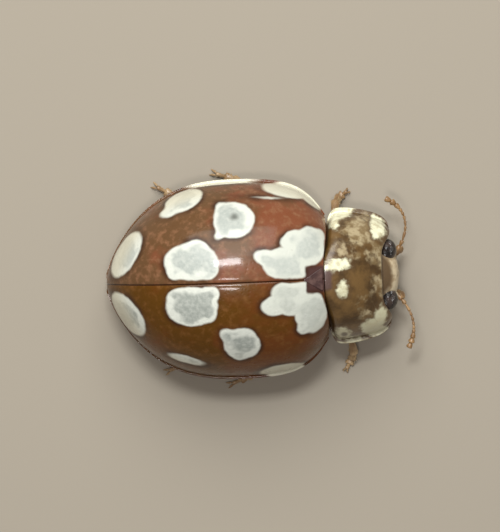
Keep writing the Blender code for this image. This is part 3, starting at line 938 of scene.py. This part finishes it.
# %% Model the lip
lip = face_plate("lip", (2.405, 0, 0.70), 0.10, 0.36, 0.13, 0.80)
open_up(lip)
nudge(lambda at: at.z < 0.66 and abs(at.y) < 0.03, (0, 0, 0.02), 0.06)
settle(lip, ["labrum"], head_finish)

# %% [markdown]
# ## Eyes
# A beetle's eye is made of hundreds of six-sided lenses. Cutting the corners off a ball made of triangles
# leaves exactly such a net of six-sided faces, and each one is then inset and raised into a lens.

# %% Mix the eyes' finish
eye_finish = mottled_finish(
    "eye", (0.22, 0.6, 0.08), (7.0, 3.0, 0.40, 0.70), (0.012, 0.009, 0.008, 1),
    (0.055, 0.036, 0.028, 1), (noise, 30.0), (0.2, 0.002))

# %% Model one eye and mirror it
EYE_MIDDLE = (2.25, 0.41, 1.02)
EYE_SHARPNESS = 25  # degrees between two lenses' faces that stay a sharp edge
eye_left = begin("eye_lenses_left", bpy.ops.mesh.primitive_ico_sphere_add, subdivisions=4, radius=1)
bpy.ops.mesh.bevel(offset_type="PERCENT", offset_pct=32, affect="VERTICES", segments=1)
scale(0.165, 0.185, 0.195)
lenses = pick("FACE", lambda at, normal: True)
bpy.ops.mesh.inset(thickness=0.0035, depth=0.0030, use_individual=True)
set_down(eye_left, EYE_MIDDLE)
eye_right = mirror_of(eye_left, "eye_lenses_right")
settle(eye_left, ["eye_left"], eye_finish, EYE_SHARPNESS)
settle(eye_right, ["eye_right"], eye_finish, EYE_SHARPNESS)
print("faces round each eye:", lenses)

# %% [markdown]
# ## Feelers
# A feeler has eleven joints. The first is long and stout, the middle ones are slender, and the last three
# widen into a club. They are all one shape at different sizes, so one joint is modelled, with a narrow foot
# and a wide head, and copied along a curve.

# %% Mix the feelers' finish
feeler_finish = mottled_finish(
    "feeler", (0.45, 0.25, 0.2), (8.0, 3.0, 0.35, 0.70), (0.20, 0.105, 0.038, 1),
    (0.36, 0.215, 0.090, 1), (noise, 30.0, 4.0), (0.4, 0.004))

# %% Model one joint
JOINT_PROFILE = (
    (0.0, 0.30), (0.06, 0.48), (0.20, 0.62), (0.55, 0.90), (0.82, 1.0), (0.95, 0.88), (1.0, 0.5))


def points_along(start, first_handle, second_handle, end, shares):
    """Points of a smooth curve at the given shares of its length."""
    fine = geometry.interpolate_bezier(start, first_handle, second_handle, end, 200)
    lengths = [0.0]
    for before, after in zip(fine, fine[1:]):
        lengths.append(lengths[-1] + (after - before).length)
    return [fine[min(range(200), key=lambda k: abs(lengths[k] - share * lengths[-1]))] for share in shares]


joint = tube("joint", JOINT_PROFILE)
round_off(joint, 1)
print("faces in a joint:", len(joint.data.polygons))

# %% Copy it into two feelers
JOINT_LENGTHS = (0.17, 0.09, 0.13, 0.08, 0.08, 0.07, 0.06, 0.06, 0.09, 0.08, 0.09)
JOINT_RADII = (0.050, 0.038, 0.027, 0.025, 0.025, 0.026, 0.028, 0.032, 0.048, 0.060, 0.056)
JOINT_OVERLAP = 1.08  # each joint reaches a little into the next
joint_ends = [sum(JOINT_LENGTHS[:k]) / sum(JOINT_LENGTHS) for k in range(12)]
FEELER_PATHS = {
    "left": ((2.36, 0.30, 0.84), (2.66, 0.62, 0.90), (2.70, 1.08, 0.90), (2.27, 1.27, 0.84)),
    "right": ((2.36, -0.30, 0.84), (2.64, -0.56, 0.90), (2.78, -0.90, 0.84), (2.58, -1.26, 0.76)),
}
for side, path in FEELER_PATHS.items():
    points = points_along(*[Vector(point) for point in path], joint_ends)
    joints = []
    for near, far, radius in zip(points, points[1:], JOINT_RADII):
        joints.append(lay_copy(joint, near, near + (far - near) * JOINT_OVERLAP, radius))
    settle(join(joints, f"feeler_{side}"), [f"antenna_{side}"], feeler_finish)

# %% [markdown]
# ## Mouthparts
# Under the lip sit two jaws and two pairs of palps, small feelers that taste food. The outer palps of a
# ladybird end in a joint shaped like an axe head, which tells the family from other small round beetles.

# %% Model the chin
chin = tube("chin", ((0.0, 0.10), (0.06, 0.15), (0.45, 0.175), (0.85, 0.13), (1.0, 0.09)), 16, 0.35)
round_off(chin, 1)
lay_along(chin, (2.06, 0, 0.615), (2.35, 0, 0.635))
settle(chin, [], head_finish)

# %% Model the outer palps
axe = tube("axe", ((0.0, 0.030), (0.15, 0.045), (0.55, 0.085), (0.90, 0.125), (1.0, 0.115)), 12, 0.45)
round_off(axe, 1)
PALP_POINTS = [Vector(point) for point in (
    (2.26, 0.13, 0.64), (2.35, 0.24, 0.57), (2.42, 0.31, 0.51), (2.45, 0.33, 0.47), (2.53, 0.40, 0.40))]
left_palp = []
for near, far, radius in zip(PALP_POINTS, PALP_POINTS[1:], (0.040, 0.038, 0.042)):
    left_palp.append(lay_copy(joint, near - (far - near) * 0.12, far, radius))
left_palp.append(lay_copy(axe, PALP_POINTS[3], PALP_POINTS[4], 1.0, 70))
palp_left = join(left_palp, "palp_joints_left")
palp_right = mirror_of(palp_left, "palp_joints_right")
settle(palp_left, ["palp_left"], feeler_finish)
settle(palp_right, ["palp_right"], feeler_finish)

# %% Model the jaws and the inner palps
JAW_PROFILE = ((0.0, 0.070), (0.10, 0.075), (0.35, 0.060), (0.65, 0.040), (0.90, 0.018), (1.0, 0.006))
jaw = tube("jaw_left", JAW_PROFILE, 12, 0.7)
open_up(jaw)
nudge(at_tip, (0, -0.045, 0), 0.7)
round_off(jaw, 1)
lay_along(jaw, (2.32, 0.13, 0.68), (2.455, 0.045, 0.62))
inner = [lay_copy(joint, (2.28, 0.06, 0.63), (2.36, 0.075, 0.56), 0.026),
         lay_copy(joint, (2.35, 0.07, 0.57), (2.42, 0.095, 0.49), 0.030)]
left_mouth = join([jaw, *inner], "jaw_left")
right_mouth = mirror_of(left_mouth, "jaw_right")
settle(left_mouth, [], feeler_finish)
settle(right_mouth, [], feeler_finish)

# %% [markdown]
# ## Belly
# The underside is a row of plates. The thorax has a short plate in front and a long one behind with a
# groove along its middle, and the abdomen has six, each tucked under the one before it. A ring with a flat
# belly is drawn out under the wing cases' outline, with a small step wherever a plate ends.

# %% Mix the underside's finish
belly_finish = mottled_finish(
    "underside", (0.45, 0.3, 0.2), (5.0, 4.0, 0.30, 0.75), (0.105, 0.045, 0.018, 1),
    (0.205, 0.105, 0.042, 1), (pits, 14.0), (0.5, 0.008))

# %% Draw out the abdomen and the thorax
BELLY_DEPTH = 0.27
BELLY_INSET = 0.10
BELLY_TIP, BELLY_WAIST, BELLY_FRONT = CASES_TIP + 0.17, -0.02, 1.32
STEP = 0.045


def belly_ring(name):
    ring = new_ring(name, 40)
    pick("VERT", lambda at: at.z > 0.01)
    scale(1, 1, 2.2)
    pick("VERT", lambda at: at.z < -0.01)
    scale(1, 1.06, 1)
    bpy.ops.mesh.select_all(action="SELECT")
    return ring


def belly_station(x, step):
    edge_z, half_width = case_at(x)[2:4]
    rear = max(BELLY_WAIST - x, 0) / (BELLY_WAIST - BELLY_TIP)
    depth = BELLY_DEPTH * (1.06 - rear**3) ** 0.5 - step
    return x, 0, edge_z, half_width - BELLY_INSET - step / 2, depth


def plates(ends):
    """Stations of a row of plates, from the front one's front edge to the last one's rear edge."""
    stations = []
    for front, rear in zip(ends, ends[1:]):
        for x, step in ((front - 0.004, STEP), ((front + rear) / 2, STEP / 2), (rear, 0)):
            stations.append(belly_station(x, step))
    return stations


def finish_plates(piece, nodes):
    """Takes the sharpness off the plates' steps and settles them."""
    face_outwards(piece)
    use_modifier(piece, "BEVEL", width=0.008, segments=2, limit_method="ANGLE",
                 angle_limit=math.radians(25))
    settle(piece, nodes, belly_finish)


PLATE_SHARES = (0, 0.25, 0.42, 0.57, 0.71, 0.85, 1)
abdomen_ends = [BELLY_WAIST + (BELLY_TIP - BELLY_WAIST) * share for share in PLATE_SHARES]
abdomen = belly_ring("abdomen_plates")
draw_out(plates(abdomen_ends))
roll_rim(((-0.035, 0.84, 0.84), (-0.030, 0.60, 0.60)), belly_station(BELLY_TIP, 0)[:3])
draw_in(lambda at: at.x < BELLY_TIP - 0.060)
cap(lambda at: at.x > abdomen_ends[0] - 0.005)
finish_plates(abdomen, ["abdomen"])
thorax = belly_ring("thorax_plates")
draw_out(plates([BELLY_FRONT, 0.78, BELLY_WAIST + 0.005]))
cap(lambda at: at.x < BELLY_WAIST + 0.006)
cap(lambda at: at.x > BELLY_FRONT - 0.005)
nudge(lambda at: abs(at.y) < 0.01 and at.z < 0.8 and 0.1 < at.x < 1.1, (0, 0, 0.025))
finish_plates(thorax, ["thorax"])

# %% Draw out the part under the pronotum
CHEST_FRONT = 2.02
CHEST_REAR = SHIELD_REAR + 0.02
CHEST_DEPTH, CHEST_INSET = 0.30, 0.13
chest_stations = []
for x in spread(CHEST_REAR, CHEST_FRONT, 8):
    edge_z, half_width = shield_station((x - SHIELD_REAR) / (SHIELD_FRONT - SHIELD_REAR))[2:4]
    chest_stations.append((x, 0, edge_z + 0.02, half_width - CHEST_INSET, CHEST_DEPTH))
chest = belly_ring("chest_plate")
draw_out(chest_stations)
cap(lambda at: at.x > CHEST_FRONT - 0.001)
cap(lambda at: at.x < CHEST_REAR + 0.001)
nudge(lambda at: abs(at.y) < 0.09 and at.z < 0.8, (0, 0, -0.03), 0.12)
face_outwards(chest)
round_off(chest, 1)
settle(chest, ["prothorax"], belly_finish)

# %% [markdown]
# ## Legs
# Each leg has a hip joint, a flat and spindle-shaped femur, a thin tibia with two spurs, and a foot with
# two lobed pads, a slender last joint and two hooked claws. Every joint is modelled once, lying along X,
# and copied into the six legs from hip to toe.

# %% Mix the legs' finish
leg_finish = mottled_finish(
    "leg", (0.42, 0.3, 0.2), (4.0, 4.0, 0.35, 0.70), (0.230, 0.130, 0.055, 1),
    (0.440, 0.300, 0.155, 1), (noise, 26.0, 4.0), (0.45, 0.005))

# %% Model each joint of a leg once
hip = tube("hip", ((0.0, 0.08), (0.10, 0.13), (0.45, 0.155), (0.80, 0.13), (1.0, 0.08)), 14, 0.85)
femur = tube("femur", (
    (0.0, 0.06), (0.05, 0.085), (0.20, 0.125), (0.45, 0.160), (0.70, 0.145), (0.88, 0.100),
    (0.97, 0.085), (1.0, 0.05)), 14, 0.62)
tibia = tube("tibia", (
    (0.0, 0.045), (0.06, 0.062), (0.16, 0.055), (0.45, 0.066), (0.80, 0.080), (0.95, 0.084),
    (1.0, 0.06)), 12, 0.75)
pad = tube("pad", ((0.0, 0.030), (0.10, 0.042), (0.50, 0.072), (0.85, 0.092), (1.0, 0.07)), 12, 0.55)
toe = tube("toe", ((0.0, 0.024), (0.10, 0.030), (0.60, 0.034), (0.90, 0.042), (1.0, 0.03)), 10, 0.9)
claw = tube("claw", ((0.0, 0.022), (0.25, 0.024), (0.55, 0.018), (0.85, 0.009), (1.0, 0.003)), 8, 0.8)
spur = tube("spur", ((0.0, 0.012), (0.3, 0.012), (0.8, 0.006), (1.0, 0.002)), 6)
open_up(claw)
nudge(at_tip, (0, 0, -0.055), 0.8)
open_up(pad)
nudge(lambda at: at.x > 0.8 and abs(at.y) < 0.03, (-0.16, 0, 0))
for each in (hip, femur, tibia, pad, toe, claw):
    round_off(each, 1)
print("faces in a femur:", len(femur.data.polygons))

# %% Copy them into six legs
HIP_Z, KNEE_Z, ANKLE_Z = 0.58, 0.50, 0.27
CLAW_LIFT = Vector((0, 0, 0.038))  # keeps the hooks' tips off the floor
LEGS = {
    "front_left": ((1.46, 0.36), (1.40, 0.98), (1.44, 1.26), (1.68, 1.42)),
    "front_right": ((1.46, 0.36), (1.62, 1.08), (1.66, 1.38), (1.50, 1.68)),
    "middle_left": ((0.76, 0.46), (0.34, 1.28), (-0.14, 1.62), (-0.66, 1.80)),
    "middle_right": ((0.76, 0.46), (0.42, 1.30), (-0.02, 1.64), (-0.50, 1.84)),
    "hind_left": ((0.06, 0.50), (-0.60, 1.08), (-1.20, 1.36), (-1.66, 1.62)),
    "hind_right": ((0.06, 0.50), (-0.54, 1.10), (-1.10, 1.38), (-1.56, 1.58)),
}
FOOT_HEIGHTS = ((0.0, ANKLE_Z), (0.34, 0.085), (0.62, 0.056), (0.86, 0.095), (1.08, 0.012))


def build_foot(ankle, tip):
    """Two pads that touch the floor, the last joint and two claws."""
    way = Vector((tip.x - ankle.x, tip.y - ankle.y, 0))
    aside = Vector((-way.y, way.x, 0)).normalized()
    start = Vector((ankle.x, ankle.y, 0))
    points = [start + way * share + Vector((0, 0, z)) for share, z in FOOT_HEIGHTS]
    foot = [lay_copy(pad, points[0] - way * 0.06, points[1]),
            lay_copy(pad, points[1] - way * 0.15, points[2]),
            lay_copy(toe, points[2] - way * 0.15, points[3])]
    for sign in (1, -1):
        root = points[3] + aside * 0.016 * sign - way * 0.05
        foot.append(lay_copy(claw, root, points[4] + aside * 0.06 * sign + CLAW_LIFT))
    return foot


for name, places in LEGS.items():
    side = 1 if name.endswith("left") else -1
    heights = (HIP_Z, KNEE_Z, ANKLE_Z, 0)
    hip_at, knee, ankle, tip = [Vector((x, side * y, z)) for (x, y), z in zip(places, heights)]
    inner_hip = hip_at + Vector((0, -0.24 * side, 0.02))
    thigh = [lay_copy(hip, inner_hip, hip_at + Vector((0, 0.06 * side, 0))), lay_copy(femur, hip_at, knee)]
    shin = [lay_copy(tibia, knee, ankle)]
    slope = (ankle - knee).normalized()
    for turn in (0.35, -0.35):
        aside = slope.cross(Vector((0, 0, 1))).normalized() * turn
        shin.append(lay_copy(spur, ankle - slope * 0.02, ankle + (slope + aside) * 0.07))
    foot = build_foot(ankle, tip)
    for pieces, part, node in ((thigh, "thigh", "femur"), (shin, "shin", "tibia"), (foot, "foot", "tarsus")):
        settle(join(pieces, f"{name}_{part}"), [f"leg_{name}_{node}"], leg_finish)

# %% [markdown]
# ## Hairs
# The shells on the back are bare, but the legs, mouthparts and belly bear fine golden hairs. Those on the
# feet and the mouth are the shortest. One hair is modelled, slim and curved, and copies are planted on
# faces picked by chance. They lean to the toes on the legs, to the tail on the belly, else forward.

# %% Mix the hairs' finish and model one hair
hair_finish, shader, place = new_finish("hair", 0.5)
gold = mix(noise(place, 9.0), (0.30, 0.19, 0.08, 1), (0.62, 0.48, 0.26, 1))
feed(shader, "Base Color", gold)
hair = tube("hair", ((0.0, 1.0), (0.35, 0.8), (0.7, 0.5), (1.0, 0.15)), 4)
open_up(hair)
nudge(at_tip, (0, 0, -0.15), 0.9)
let_go()
print("faces in a hair:", len(hair.data.polygons))

# %% Helper that plants hairs
HAIR_THICKNESS, HAIR_DEPTH = 0.0035, 0.004
random.seed(18)


def plant(name, count, length, lean, where=lambda at, normal: True):
    """Plants count hairs on the faces of a settled piece for which where(middle, normal) is true."""
    polygons = bpy.data.objects[name].data.polygons
    faces = [(face.center / MM - WAIST, face.normal, face.area) for face in polygons]
    faces = [face for face in faces if where(face[0], face[1])]
    hairs = []
    for at, normal, _ in random.choices(faces, [face[2] for face in faces], k=count):
        chance = Vector([random.uniform(-0.3, 0.3) for _ in range(3)])
        way = (normal * 0.8 + Vector(lean) + chance).normalized()
        each = bpy.data.objects.new("hair_copy", hair.data.copy())
        bpy.context.scene.collection.objects.link(each)
        size = Matrix.Diagonal((length * random.uniform(0.7, 1.2), HAIR_THICKNESS, HAIR_THICKNESS, 1))
        turn = way.to_track_quat("X", "Z").to_matrix().to_4x4()
        each.data.transform(Matrix.Translation(at - way * HAIR_DEPTH) @ turn @ size)
        hairs.append(each)
    return hairs


print("hairs can be planted")

# %% Plant hairs on the legs
# part, how many hairs, how long they are and how high the lowest one grows
LEG_HAIRS = (("thigh", 26, 0.07, 0), ("shin", 34, 0.07, 0), ("foot", 44, 0.045, 0.045))
leg_hairs = []
for name, places in LEGS.items():
    side = 1 if name.endswith("left") else -1
    to_toe = (Vector(places[3]) - Vector(places[1])).normalized()
    lean = (to_toe.x, to_toe.y * side, -0.3)
    for part, count, length, lowest in LEG_HAIRS:
        leg_hairs += plant(f"{name}_{part}", count, length, lean, lambda at, normal: at.z > lowest)
settle(join(leg_hairs, "leg_hairs"), [], hair_finish)

# %% Plant hairs on the belly and the mouthparts
BELLY_HAIRS = {"abdomen_plates": 260, "thorax_plates": 110, "chest_plate": 70}
MOUTH_HAIRS = {"palp_joints_left": 22, "palp_joints_right": 22, "feeler_left": 40, "feeler_right": 40,
               "lip": 14}
belly_hairs = []
for name, count in BELLY_HAIRS.items():
    belly_hairs += plant(name, count, 0.075, (-0.9, 0, 0), lambda at, normal: normal.z < -0.5)
settle(join(belly_hairs, "belly_hairs"), [], hair_finish)
mouth_hairs = []
for name, count in MOUTH_HAIRS.items():
    mouth_hairs += plant(name, count, 0.04, (0.5, 0, -0.1))
settle(join(mouth_hairs, "mouth_hairs"), [], hair_finish)

# %% Clear away the shapes that were copied
for each in (socket, bar, joint, axe, hip, femur, tibia, pad, toe, claw, spur, hair):
    bpy.data.objects.remove(each)
